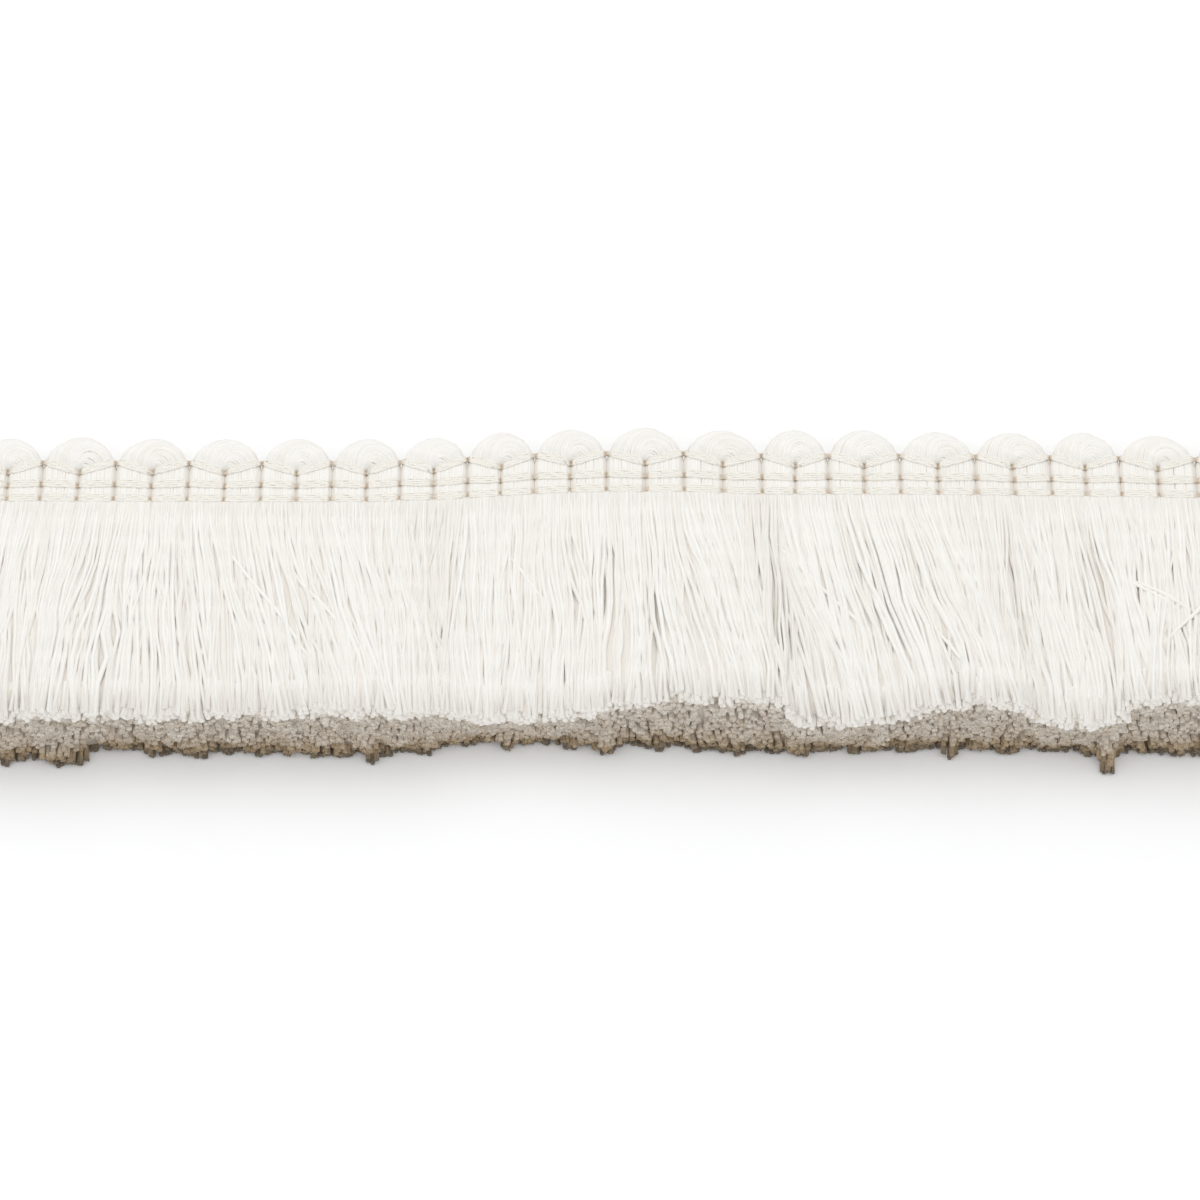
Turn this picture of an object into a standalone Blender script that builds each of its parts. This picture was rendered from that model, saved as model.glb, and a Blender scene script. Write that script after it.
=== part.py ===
"""A cut length of brush fringe trim, lying on its back on a flat surface.

Each loop of the scalloped edge is the turn of one thick weft bundle of soft yarn. Its two legs run
down side by side through the heading, where three binding threads cross them, and below the heading
the same bundle goes on as the brush, cut square at its end. Metres, +X along the trim, +Y towards the
loops and +Z out of the face. The origin is the middle of the heading's back.
"""

import math
import random
from collections import namedtuple

import bmesh
import bpy
from mathutils import Vector

# Heading and loops
HEADING_DEPTH = 0.0052
HEADING_THICKNESS = 0.0031
LOOP_PITCH = 0.0075
LOOP_CENTRE_Y = 0.0012
LOOP_PUFF = 0.14
LOOP_STEPS = 6
SLIT = 0.0004
LEG_ROUNDING = 0.30

# Brush
LOCKS_ACROSS = 2
LOCK_LAYERS = 4
LOCK_GAP = 0.00024
LOCK_BEND_ALONG = 0.45
LOCK_GROWTH = (1.10, 1.14)
LOCK_UNEVEN = 0.018
LEAN_OF_BACK = 0.25
LEAN_CURVE = 1.3
FAN_CURVE = 1.6
SEED = 38

# Binding threads
THREAD_RADIUS = 0.0002
THREAD_CLEARANCE = 0.0003
THREAD_SHOULDER = 0.0012
THREAD_DIP = 0.00035

# How far along the trim a station's values are felt.
BLEND_WIDTH = 0.0045

# Worked out from the sizes above
LEG_SPACING = LOOP_PITCH / 2
LEG_WIDTH = LEG_SPACING - SLIT
LOOP_REACH = LEG_SPACING - SLIT / 2
HEADING_FOOT = -HEADING_DEPTH / 2

# One row for each loop, from the left: its share of the trim's length, and how far its crown stands
# out from the point where its legs begin to turn.
Loop = namedtuple("Loop", "pitch crown")
LOOPS = [
    Loop(0.0071, 0.00420),
    Loop(0.0076, 0.00440),
    Loop(0.0076, 0.00420),
    Loop(0.0075, 0.00420),
    Loop(0.0074, 0.00425),
    Loop(0.0071, 0.00420),
    Loop(0.0069, 0.00410),
    Loop(0.0070, 0.00430),
    Loop(0.0075, 0.00425),
    Loop(0.0080, 0.00440),
    Loop(0.0081, 0.00420),
    Loop(0.0069, 0.00445),
    Loop(0.0075, 0.00440),
    Loop(0.0078, 0.00420),
    Loop(0.0078, 0.00420),
    Loop(0.0072, 0.00435),
    Loop(0.0079, 0.00405),
    Loop(0.0077, 0.00420),
]
TRIM_LENGTH = sum(loop.pitch for loop in LOOPS)

# Where the heading bows out of a straight line, along the trim.
Bow = namedtuple("Bow", "x shift")
BOWS = [
    Bow(-0.066, -0.00040),
    Bow(-0.050, -0.00045),
    Bow(-0.030, -0.00050),
    Bow(-0.022, -0.00030),
    Bow(-0.016, 0.0),
    Bow(-0.009, 0.00050),
    Bow(-0.001, 0.00080),
    Bow(0.006, 0.00080),
    Bow(0.014, 0.00050),
    Bow(0.030, 0.00045),
    Bow(0.045, 0.00025),
    Bow(0.060, 0.0),
    Bow(0.067, -0.00010),
]

# How the face of the brush leans sideways from root to tip, by where it is rooted.
Lean = namedtuple("Lean", "x sideways")
LEANS = [
    Lean(-0.066, -0.0004),
    Lean(-0.056, -0.0010),
    Lean(-0.050, 0.0004),
    Lean(-0.044, 0.0034),
    Lean(-0.036, 0.0062),
    Lean(-0.028, 0.0050),
    Lean(-0.020, 0.0030),
    Lean(-0.012, 0.0006),
    Lean(-0.004, 0.0),
    Lean(0.002, 0.0018),
    Lean(0.008, 0.0050),
    Lean(0.016, 0.0072),
    Lean(0.024, 0.0066),
    Lean(0.032, 0.0064),
    Lean(0.040, 0.0046),
    Lean(0.048, 0.0018),
    Lean(0.056, 0.0002),
    Lean(0.066, 0.0),
]

# The cut end of the brush at stations along the trim: how far its face and its back reach from the
# middle of the heading, and how high it stands.
Cut = namedtuple("Cut", "x face_reach back_reach height")
CUTS = [
    Cut(-0.066, 0.0319, 0.0325, 0.0083),
    Cut(-0.056, 0.0323, 0.0329, 0.0084),
    Cut(-0.050, 0.0318, 0.0319, 0.0077),
    Cut(-0.044, 0.0321, 0.0325, 0.0080),
    Cut(-0.036, 0.0318, 0.0322, 0.0079),
    Cut(-0.028, 0.0319, 0.0325, 0.0084),
    Cut(-0.020, 0.0317, 0.0321, 0.0081),
    Cut(-0.012, 0.0316, 0.0309, 0.0066),
    Cut(-0.004, 0.0315, 0.0314, 0.0074),
    Cut(0.002, 0.0309, 0.0315, 0.0084),
    Cut(0.008, 0.0309, 0.0319, 0.0090),
    Cut(0.015, 0.0314, 0.0322, 0.0087),
    Cut(0.020, 0.0324, 0.0320, 0.0070),
    Cut(0.028, 0.0317, 0.0319, 0.0076),
    Cut(0.037, 0.0311, 0.0319, 0.0087),
    Cut(0.044, 0.0325, 0.0321, 0.0069),
    Cut(0.049, 0.0321, 0.0322, 0.0077),
    Cut(0.056, 0.0309, 0.0323, 0.0092),
    Cut(0.066, 0.0318, 0.0323, 0.0082),
]
BRUSH_LENGTH = 0.0320 + HEADING_FOOT

# The three rows of binding, by where each lies over the gaps between loops and over their middles.
Binding = namedtuple("Binding", "name y_between_loops y_mid_loop")
BINDINGS = [
    Binding("binding_thread_top", 0.00220, 0.00085),
    Binding("binding_thread_middle", -0.00035, -0.00055),
    Binding("binding_thread_bottom", -0.00225, -0.00230),
]

Finish = namedtuple("Finish", "colour roughness")
WEFT_FINISH = Finish((0.90, 0.87, 0.80, 1.0), 0.85)
BINDING_FINISH = Finish((0.86, 0.81, 0.71, 1.0), 0.80)


def clear_scene():
    for obj in list(bpy.data.objects):
        bpy.data.objects.remove(obj, do_unlink=True)


def new_collection(name):
    collection = bpy.data.collections.new(name)
    bpy.context.scene.collection.children.link(collection)
    return collection


def yarn_material(name, finish):
    """A matt yarn finish with its metallic value at zero."""
    material = bpy.data.materials.new(name)
    material.use_nodes = True
    shader = material.node_tree.nodes["Principled BSDF"]
    shader.inputs["Base Color"].default_value = finish.colour
    shader.inputs["Roughness"].default_value = finish.roughness
    shader.inputs["Metallic"].default_value = 0.0
    return material


def blended(stations, column, x):
    """A column's value at x, blended softly between the stations on either side."""
    weights = [math.exp(-(((x - row.x) / BLEND_WIDTH) ** 2)) for row in stations]
    values = [getattr(row, column) for row in stations]
    return sum(w * v for w, v in zip(weights, values)) / sum(weights)


def loop_starts():
    """The left edge of each loop, with the trim centred on the origin."""
    starts = [-TRIM_LENGTH / 2]
    for loop in LOOPS[:-1]:
        starts.append(starts[-1] + loop.pitch)
    return starts


def puff(y):
    """How much thicker a loop grows towards its crown."""
    return 1 + LOOP_PUFF * max(0.0, y - LOOP_CENTRE_Y) / LOOP_REACH


def laid(point):
    """Where a point of the straight trim comes to lie: bowed at the heading, fanned and leaning below."""
    bow = blended(BOWS, "shift", point.x)
    along = max(0.0, (HEADING_FOOT - point.y) / BRUSH_LENGTH)
    if along == 0.0:
        return Vector((point.x, point.y + bow, point.z))
    front = point.z / HEADING_THICKNESS
    share = LEAN_OF_BACK + (1 - LEAN_OF_BACK) * front
    sideways = blended(LEANS, "sideways", point.x) * share
    tip_x = point.x + sideways
    back_reach = blended(CUTS, "back_reach", tip_x)
    reach = back_reach + (blended(CUTS, "face_reach", tip_x) - back_reach) * front
    rise = blended(CUTS, "height", tip_x) - HEADING_THICKNESS
    fanned = 1 - (1 - min(along, 1.0)) ** FAN_CURVE
    x = point.x + sideways * along**LEAN_CURVE
    y = HEADING_FOOT - along * (reach + HEADING_FOOT) + bow * max(0.0, 1 - along)
    return Vector((x, y, front * (HEADING_THICKNESS + rise * fanned)))


def fullness(height):
    """A leg's width at a share of its height: flat at the back, rounded at the front."""
    return 1 - LEG_ROUNDING * height**6 - LEG_ROUNDING / 2 * (1 - height) ** 6


def add_leg_section(bm):
    """One leg's cross-section, a cell for each lock, standing on its back where the loop turns."""
    made = bmesh.ops.create_grid(bm, x_segments=LOCKS_ACROSS, y_segments=LOCK_LAYERS, size=0.5)
    for vert in made["verts"]:
        height = vert.co.y + 0.5
        x = -LEG_SPACING / 2 + vert.co.x * LEG_WIDTH * fullness(height)
        vert.co = Vector((x, LOOP_CENTRE_Y, height * HEADING_THICKNESS))
    return list(bm.faces)


def turn_loop(bm, section):
    """Sweeps the section half a turn over the top, from the left leg to the right one."""
    bmesh.ops.spin(
        bm,
        geom=section,
        cent=(0, LOOP_CENTRE_Y, 0),
        axis=(0, 0, -1),
        angle=math.pi,
        steps=LOOP_STEPS,
    )


def feet(bm):
    """The faces at the lowest level of the trim: the open ends of both legs."""
    lowest = min(vert.co.y for vert in bm.verts)
    return [f for f in bm.faces if all(abs(v.co.y - lowest) < 1e-7 for v in f.verts)]


def lengthen_legs(bm):
    """Draws both legs down through the heading."""
    ends = feet(bm)
    grown = bmesh.ops.extrude_face_region(bm, geom=ends)
    for item in grown["geom"]:
        if isinstance(item, bmesh.types.BMVert):
            item.co.y = HEADING_FOOT
    bmesh.ops.delete(bm, geom=ends, context="FACES")


def fill_out(tip, spread, growth, from_root):
    """Fills a lock's end out towards its neighbours, which squares the leg's rounding off."""
    centre = tip.calc_center_median()
    leg_x = math.copysign(LEG_SPACING / 2, centre.x)
    lies_on_back = min(vert.co.z for vert in tip.verts) < LOCK_GAP
    for vert in tip.verts:
        rounding = fullness(vert.co.z / HEADING_THICKNESS) if from_root else 1
        on_back = lies_on_back and vert.co.z < centre.z
        vert.co.x = leg_x + (vert.co.x - leg_x) * spread / rounding
        vert.co.z = 0.0 if on_back else centre.z + (vert.co.z - centre.z) * growth


def grow_locks(bm, dice):
    """Draws a lock of the brush out of each cell of both feet, fuller towards its cut end."""
    tips = feet(bm)
    bmesh.ops.inset_individual(bm, faces=tips, thickness=LOCK_GAP / 2, use_even_offset=True)
    spread = math.sqrt(LEG_SPACING / LEG_WIDTH)
    reached = 0.0
    for along, growth in zip((LOCK_BEND_ALONG, 1.0), LOCK_GROWTH):
        tips = bmesh.ops.extrude_discrete_faces(bm, faces=tips)["faces"]
        for tip in tips:
            fill_out(tip, spread, growth, from_root=reached == 0.0)
            uneven = dice.uniform(-LOCK_UNEVEN, LOCK_UNEVEN) if along == 1.0 else 0.0
            for vert in tip.verts:
                vert.co.y -= (along + uneven - reached) * BRUSH_LENGTH
        reached = along


def weft_bundle(number, start, loop, material, collection, trim):
    """A loop, its two legs and the locks that they go on as, in one solid."""
    bm = bmesh.new()
    turn_loop(bm, add_leg_section(bm))
    lengthen_legs(bm)
    grow_locks(bm, random.Random(SEED + number))
    centre = start + loop.pitch / 2
    place = Vector((centre, blended(BOWS, "shift", centre), 0))
    for vert in bm.verts:
        above = max(0.0, vert.co.y - LOOP_CENTRE_Y)
        vert.co.z *= puff(vert.co.y)
        vert.co.y += above * (loop.crown / LOOP_REACH - 1)
        vert.co.x = centre + vert.co.x * loop.pitch / LOOP_PITCH
        vert.co = laid(vert.co) - place
    bmesh.ops.recalc_face_normals(bm, faces=bm.faces)
    mesh = bpy.data.meshes.new(f"weft_bundle_{number:02d}")
    bm.to_mesh(mesh)
    bm.free()
    mesh.materials.append(material)
    mesh.shade_smooth()
    mesh.set_sharp_from_angle(angle=math.radians(40))
    obj = bpy.data.objects.new(mesh.name, mesh)
    obj.location = place
    obj.parent = trim
    collection.objects.link(obj)


def thread_path(binding):
    """The points of one binding thread: flat over each leg, dipping at the slit on either side of it."""
    between, mid = binding.y_between_loops, binding.y_mid_loop
    over = HEADING_THICKNESS * puff(between) + THREAD_CLEARANCE + THREAD_RADIUS
    points = []
    for start, loop in zip(loop_starts(), LOOPS):
        stretch = loop.pitch / LOOP_PITCH
        for slit_x, slit_y, next_y in ((0.0, between, mid), (LEG_SPACING, mid, between)):
            points.append(Vector((start + slit_x * stretch, slit_y, over - THREAD_DIP)))
            for side in (-1, 1):
                across = LEG_SPACING / 2 + side * THREAD_SHOULDER
                y = slit_y + (next_y - slit_y) * across / LEG_SPACING
                points.append(Vector((start + (slit_x + across) * stretch, y, over)))
    points.append(Vector((TRIM_LENGTH / 2, between, over - THREAD_DIP)))
    return [laid(point) for point in points]


def binding_thread(binding, material, collection, trim):
    """One row of binding as a tube along its path."""
    points = thread_path(binding)
    curve = bpy.data.curves.new(binding.name, "CURVE")
    curve.dimensions = "3D"
    curve.bevel_depth = THREAD_RADIUS
    curve.bevel_resolution = 0
    curve.use_fill_caps = True
    spline = curve.splines.new("POLY")
    spline.points.add(len(points) - 1)
    for spline_point, point in zip(spline.points, points):
        spline_point.co = (*point, 1)
    curve.materials.append(material)
    obj = bpy.data.objects.new(binding.name, curve)
    obj.parent = trim
    collection.objects.link(obj)


def main():
    clear_scene()
    collection = new_collection("brush_fringe_trim")
    trim = bpy.data.objects.new("trim", None)
    collection.objects.link(trim)
    weft = yarn_material("weft_yarn", WEFT_FINISH)
    for number, (start, loop) in enumerate(zip(loop_starts(), LOOPS), start=1):
        weft_bundle(number, start, loop, weft, collection, trim)
    binding_yarn = yarn_material("binding_yarn", BINDING_FINISH)
    for binding in BINDINGS:
        binding_thread(binding, binding_yarn, collection, trim)


main()
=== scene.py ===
import math
from collections import namedtuple

import bpy
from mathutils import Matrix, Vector


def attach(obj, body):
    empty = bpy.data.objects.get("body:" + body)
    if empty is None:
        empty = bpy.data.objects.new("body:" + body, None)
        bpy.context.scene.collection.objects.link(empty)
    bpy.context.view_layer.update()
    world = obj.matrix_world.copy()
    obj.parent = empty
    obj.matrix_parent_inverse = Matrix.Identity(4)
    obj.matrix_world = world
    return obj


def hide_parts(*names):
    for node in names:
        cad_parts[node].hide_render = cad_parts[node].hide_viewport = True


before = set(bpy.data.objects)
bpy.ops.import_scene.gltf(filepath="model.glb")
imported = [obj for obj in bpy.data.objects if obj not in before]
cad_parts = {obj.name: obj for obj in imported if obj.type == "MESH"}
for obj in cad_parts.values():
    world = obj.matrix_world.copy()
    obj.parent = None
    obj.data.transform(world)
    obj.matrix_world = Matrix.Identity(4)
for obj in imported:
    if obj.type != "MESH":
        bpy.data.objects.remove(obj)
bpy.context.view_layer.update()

# Loops and legs.
# Each loop of the scalloped edge is the turn of one thick bundle of soft ivory yarn. Its two legs run
# down through the heading side by side, squeezed together until only a thin slit parts them.

HEADING_DEPTH = 0.0052
HEADING_THICKNESS = 0.0031
LOOP_PITCH = 0.0075
LOOP_CENTRE_Y = 0.0012
LOOP_PUFF = 0.17
SLIT = 0.00012
LEG_SPACING = LOOP_PITCH / 2
LEG_WIDTH = LEG_SPACING - SLIT
LOOP_REACH = 0.00355
HEADING_FOOT = -HEADING_DEPTH / 2

# One row for each loop, from the left: its share of the length, how far its crown stands out from
# where its legs begin to turn, and how far its yarns twist on the way round, in turns.
Loop = namedtuple("Loop", "pitch crown twist")
LOOPS = [
    Loop(0.0071, 0.00462, 0.20),
    Loop(0.0076, 0.00482, 0.24),
    Loop(0.0076, 0.00462, 0.18),
    Loop(0.0075, 0.00462, 0.22),
    Loop(0.0074, 0.00467, 0.16),
    Loop(0.0071, 0.00462, 0.20),
    Loop(0.0069, 0.00452, 0.26),
    Loop(0.0070, 0.00472, 0.22),
    Loop(0.0075, 0.00467, 0.20),
    Loop(0.0080, 0.00482, 0.18),
    Loop(0.0081, 0.00462, 0.17),
    Loop(0.0069, 0.00487, 0.15),
    Loop(0.0075, 0.00482, 0.18),
    Loop(0.0078, 0.00462, 0.23),
    Loop(0.0078, 0.00462, 0.25),
    Loop(0.0072, 0.00477, 0.23),
    Loop(0.0079, 0.00447, 0.19),
    Loop(0.0077, 0.00462, 0.21),
]
TRIM_LENGTH = sum(loop.pitch for loop in LOOPS)

# Where the heading bows out of a straight line, by stations along the trim.
Bow = namedtuple("Bow", "x shift")
BOWS = [
    Bow(-0.066, -0.00040),
    Bow(-0.050, -0.00045),
    Bow(-0.030, -0.00050),
    Bow(-0.022, -0.00030),
    Bow(-0.016, 0.0),
    Bow(-0.009, 0.00050),
    Bow(-0.001, 0.00080),
    Bow(0.006, 0.00080),
    Bow(0.014, 0.00050),
    Bow(0.030, 0.00045),
    Bow(0.045, 0.00025),
    Bow(0.060, 0.0),
    Bow(0.067, -0.00010),
]

# The three rows of binding, by where each lies over the gaps between loops and over their middles.
Binding = namedtuple("Binding", "name y_between_loops y_mid_loop")
BINDINGS = [
    Binding("binding_thread_top", 0.00245, 0.00105),
    Binding("binding_thread_middle", -0.00035, -0.00055),
    Binding("binding_thread_bottom", -0.00225, -0.00230),
]
BOTTOM_BINDING = BINDINGS[2]

LOOP_YARNS = 50
LOOP_YARN_RADIUS = 0.00019
LOOP_STEPS = 12
LEG_STEPS = 8
LOOP_SHOULDER = 0.975
LOOP_ROUNDNESS = 2.0
LEG_SQUARENESS = 7.0
LOOP_CORE = 0.935
LOOP_CORE_OVER = 0.00048
PINCH = 0.06
PINCH_WIDTH = 0.00042
NECK = 0.06


class Wire:
    """A value in a node tree. Sums written with it add the Math nodes that work them out."""

    def __init__(self, tree, socket):
        self.tree = tree
        self.socket = socket

    def math(self, operation, *others):
        return self.tree.node("ShaderNodeMath", {"operation": operation}, dict(enumerate((self, *others))))

    def reflected(self, operation, other):
        return self.tree.node("ShaderNodeMath", {"operation": operation}, {0: other, 1: self})

    def __add__(self, other):
        return self.math("ADD", other)

    def __sub__(self, other):
        return self.math("SUBTRACT", other)

    def __mul__(self, other):
        return self.math("MULTIPLY", other)

    def __truediv__(self, other):
        return self.math("DIVIDE", other)

    def __pow__(self, other):
        return self.math("POWER", other)

    def __rsub__(self, other):
        return self.reflected("SUBTRACT", other)

    def __rtruediv__(self, other):
        return self.reflected("DIVIDE", other)

    __radd__ = __add__
    __rmul__ = __mul__


class Tree:
    """A node tree that is written as Python."""

    def __init__(self, nodes):
        self.nodes = nodes

    def node(self, kind, settings=None, inputs=None, output=0):
        """Adds a node, makes its settings, then fills or links its sockets, and gives one output."""
        made = self.nodes.nodes.new(kind)
        for name, value in (settings or {}).items():
            if name == "curve":
                self.draw(made.mapping, value)
            else:
                setattr(made, name, value)
        for key, value in (inputs or {}).items():
            if isinstance(value, Wire):
                self.nodes.links.new(value.socket, made.inputs[key])
            else:
                made.inputs[key].default_value = value
        return Wire(self, made.outputs[output])

    def draw(self, mapping, points):
        mapping.use_clip = False
        mapping.extend = "HORIZONTAL"
        curve = mapping.curves[0]
        while len(curve.points) < len(points):
            curve.points.new(0.5, 0.5)
        for point, place in zip(curve.points, points):
            point.location = place
        mapping.update()

    def xyz(self, x, y, z):
        return self.node("ShaderNodeCombineXYZ", inputs={0: x, 1: y, 2: z})

    def parts(self, vector):
        split = self.node("ShaderNodeSeparateXYZ", inputs={0: vector}).socket.node
        return [Wire(self, socket) for socket in split.outputs]

    def ease(self, value):
        """From 0 to 1 with soft ends, and flat beyond them."""
        return self.node("ShaderNodeMapRange", {"interpolation_type": "SMOOTHSTEP"}, {"Value": value})

    def noise(self, x, y, z, detail=0.0):
        """Smooth noise between about -1 and 1."""
        inputs = {"Vector": self.xyz(x, y, z), "Scale": 1.0, "Detail": detail}
        return self.node("ShaderNodeTexNoise", {"noise_dimensions": "3D"}, inputs) * 4 - 2

    def dice(self, seed, number):
        """A draw between -1 and 1 for each number."""
        made = self.nodes.nodes.new("FunctionNodeRandomValue")
        made.data_type = "FLOAT"
        sockets = {socket.identifier: socket for socket in made.inputs}
        sockets["Min_001"].default_value = -1.0
        sockets["Max_001"].default_value = 1.0
        self.nodes.links.new(number.socket, sockets["ID"])
        self.nodes.links.new(seed.socket, sockets["Seed"])
        return Wire(self, next(socket for socket in made.outputs if socket.enabled))

    def kept(self, geometry, *values):
        """Ties values to the points that they were worked out on, to be read after the points change."""
        made = self.nodes.nodes.new("GeometryNodeCaptureAttribute")
        for number in range(len(values)):
            made.capture_items.new("FLOAT", f"value {number}")
        self.nodes.links.new(geometry.socket, made.inputs[0])
        for number, value in enumerate(values, start=1):
            self.nodes.links.new(value.socket, made.inputs[number])
        return [Wire(self, made.outputs[number]) for number in range(len(values) + 1)]

    def stored(self, geometry, name, value, data_type="FLOAT"):
        """Names a value on the geometry, for the material to read."""
        settings = {"data_type": data_type, "domain": "POINT"}
        inputs = {"Geometry": geometry, "Name": name, "Value": value}
        return self.node("GeometryNodeStoreNamedAttribute", settings, inputs)

    def joined(self, *shapes):
        made = self.nodes.nodes.new("GeometryNodeJoinGeometry")
        for shape in shapes:
            self.nodes.links.new(shape.socket, made.inputs[0])
        return Wire(self, made.outputs[0])

    def along_trim(self, x, stations, column):
        """A column of a table of stations, as a smooth curve over the trim's length."""
        values = [getattr(row, column) for row in stations]
        low, high = min(values), max(values)
        places = [row.x / TRIM_LENGTH + 0.5 for row in stations]
        points = [(place, (value - low) / (high - low)) for place, value in zip(places, values)]
        share = self.node("ShaderNodeFloatCurve", {"curve": points}, {"Value": x / TRIM_LENGTH + 0.5})
        return low + share * (high - low)

    def using(self, group, *values):
        """Adds a node that works out a group, and gives all its results."""
        made = self.node("GeometryNodeGroup", {"node_tree": group}, dict(enumerate(values))).socket.node
        return [Wire(self, socket) for socket in made.outputs]

    def finished(self, geometry, material):
        """Ends the tree with a smooth, real mesh in its material."""
        smooth = self.node("GeometryNodeSetShadeSmooth", inputs={"Geometry": geometry})
        real = self.node("GeometryNodeRealizeInstances", inputs={"Geometry": smooth})
        done = self.node("GeometryNodeSetMaterial", inputs={"Geometry": real, "Material": material})
        self.nodes.interface.new_socket("Geometry", in_out="OUTPUT", socket_type="NodeSocketGeometry")
        self.nodes.links.new(done.socket, self.nodes.nodes.new("NodeGroupOutput").inputs[0])


def group_of(name, given, found, work):
    """A group of nodes that takes some numbers and works out others."""
    tree = Tree(bpy.data.node_groups.new(name, "GeometryNodeTree"))
    for direction, names in (("INPUT", given), ("OUTPUT", found)):
        for each in names.split():
            tree.nodes.interface.new_socket(each, in_out=direction, socket_type="NodeSocketFloat")
    begin = tree.nodes.nodes.new("NodeGroupInput")
    finish = tree.nodes.nodes.new("NodeGroupOutput")
    results = work(tree, *[Wire(tree, begin.outputs[each]) for each in given.split()])
    for each, result in zip(found.split(), results):
        tree.nodes.links.new(result.socket, finish.inputs[each])
    return tree.nodes


# What is set for each bundle, and is the same for all its yarns.
Bundle = namedtuple("Bundle", "middle stretch crown twist side_rows side_spread seed")


def copies_of(tree, shape, count, draws):
    """Copies of one shape, where each of its points was in the shape, and the values of each copy."""
    points = tree.node("GeometryNodePoints", inputs={"Count": count})
    number = tree.node("GeometryNodeInputIndex")
    points, *values = tree.kept(points, *draws(number))
    copies = tree.node("GeometryNodeInstanceOnPoints", inputs={"Points": points, "Instance": shape})
    copies = tree.node("GeometryNodeRealizeInstances", inputs={"Geometry": copies})
    copies, *place = tree.kept(copies, *tree.parts(tree.node("GeometryNodeInputPosition")))
    return copies, place, values


def line_of(tree, steps):
    """A straight line from 0 to 1 in so many steps."""
    line = tree.node("GeometryNodeCurvePrimitiveLine", inputs={"End": (1.0, 0.0, 0.0)})
    return tree.node("GeometryNodeResampleCurve", inputs={"Curve": line, "Count": steps + 1})


def spun(tree, lines, places, radius, tone, tint, sides, turned=0.0):
    """Moves the lines' points to their places and spins each line into a slightly flat yarn."""
    lines = tree.node("GeometryNodeSetPosition", inputs={"Geometry": lines, "Position": places})
    lines = tree.node("GeometryNodeSetCurveTilt", inputs={"Curve": lines, "Tilt": turned})
    lines = tree.stored(lines, "tone", tone)
    # Painted shade, for the material: how far the yarn is darkened towards its shade colours.
    lines = tree.stored(lines, "tint", tint)
    length = tree.node("GeometryNodeSplineParameter", output="Length")
    lines = tree.stored(lines, "length", length)
    around = tree.node("GeometryNodeCurvePrimitiveCircle", inputs={"Resolution": sides, "Radius": 1.0})
    around = tree.stored(around, "around", tree.node("GeometryNodeInputPosition"), "FLOAT_VECTOR")
    around = tree.node("GeometryNodeTransform", inputs={"Geometry": around, "Scale": (1.12, 0.9, 1.0)})
    inputs = {"Curve": lines, "Profile Curve": around, "Scale": radius, "Fill Caps": True}
    return tree.node("GeometryNodeCurveToMesh", inputs=inputs)


def moved(tree, shape, places, tone, tint, length, around):
    """Moves a shape's points to their places and names their values for the material."""
    shape = tree.node("GeometryNodeSetPosition", inputs={"Geometry": shape, "Position": places})
    shape = tree.stored(shape, "tone", tone)
    # Painted shade, for the material: how far the shape is darkened towards its shade colours.
    shape = tree.stored(shape, "tint", tint)
    shape = tree.stored(shape, "length", length)
    return tree.stored(shape, "around", around, "FLOAT_VECTOR")


def thread_line(x_in_loop, row):
    """How far up a row of binding passes, at a place across the loop's two legs."""
    away = x_in_loop.math("ABSOLUTE") / LEG_SPACING
    return row.y_mid_loop + away * (row.y_between_loops - row.y_mid_loop)


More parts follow.
